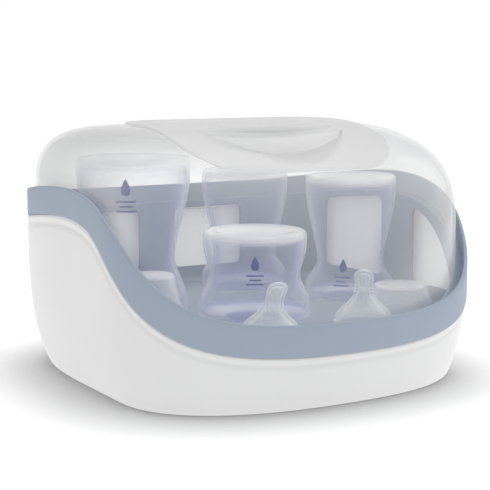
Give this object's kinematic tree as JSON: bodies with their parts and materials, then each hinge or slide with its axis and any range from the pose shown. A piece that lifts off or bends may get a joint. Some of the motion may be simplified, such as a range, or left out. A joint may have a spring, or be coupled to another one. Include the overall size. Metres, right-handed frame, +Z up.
{
  "type": "microwave bottle steriliser",
  "caption": "Microwave steam steriliser for baby bottles: white base tub, lift-out blue-grey basket with windows, clear domed lid with a grip panel, loaded with bottles, teats and caps.",
  "frame": {"origin": "centre of the plan on the surface it stands on, metres", "axes": "+Z up, -Y is the low front of the rim, +X to the right seen from the front"},
  "size_m": [0.27, 0.2662, 0.1734],
  "materials": {
    "base_white": "soft gloss",
    "basket_blue": "satin",
    "lid_clear": "clear gloss",
    "lid_satin": "frosted",
    "bottle_clear": "clear gloss",
    "silicone": "clear silicone",
    "cap_clear": "clear gloss"
  },
  "bodies": {
    "base": {"base_wall": "base_white", "base_floor": "base_white"},
    "basket": {"basket_rim": "basket_blue", "basket_wall": "basket_blue", "basket_tray": "basket_blue", "bottle_large": "bottle_clear", "bottle_medium_back": "bottle_clear", "bottle_medium_side": "bottle_clear", "bottle_small": "bottle_clear", "teat_leaning": "silicone", "teat_ribbed": "silicone", "cap_tall": "cap_clear", "cap_short": "cap_clear"},
    "lid": {"lid_shell": "lid_clear", "lid_grip_panel": "lid_satin"}
  },
  "joints": [
    {"name": "basket_lift", "type": "slide", "parent": "base", "child": "basket", "axis": [0, 0, 1], "range_m": [0, 0.12]},
    {"name": "lid_lift", "type": "slide", "parent": "basket", "child": "lid", "axis": [0, 0, 1], "range_m": [0, 0.13]}
  ]
}
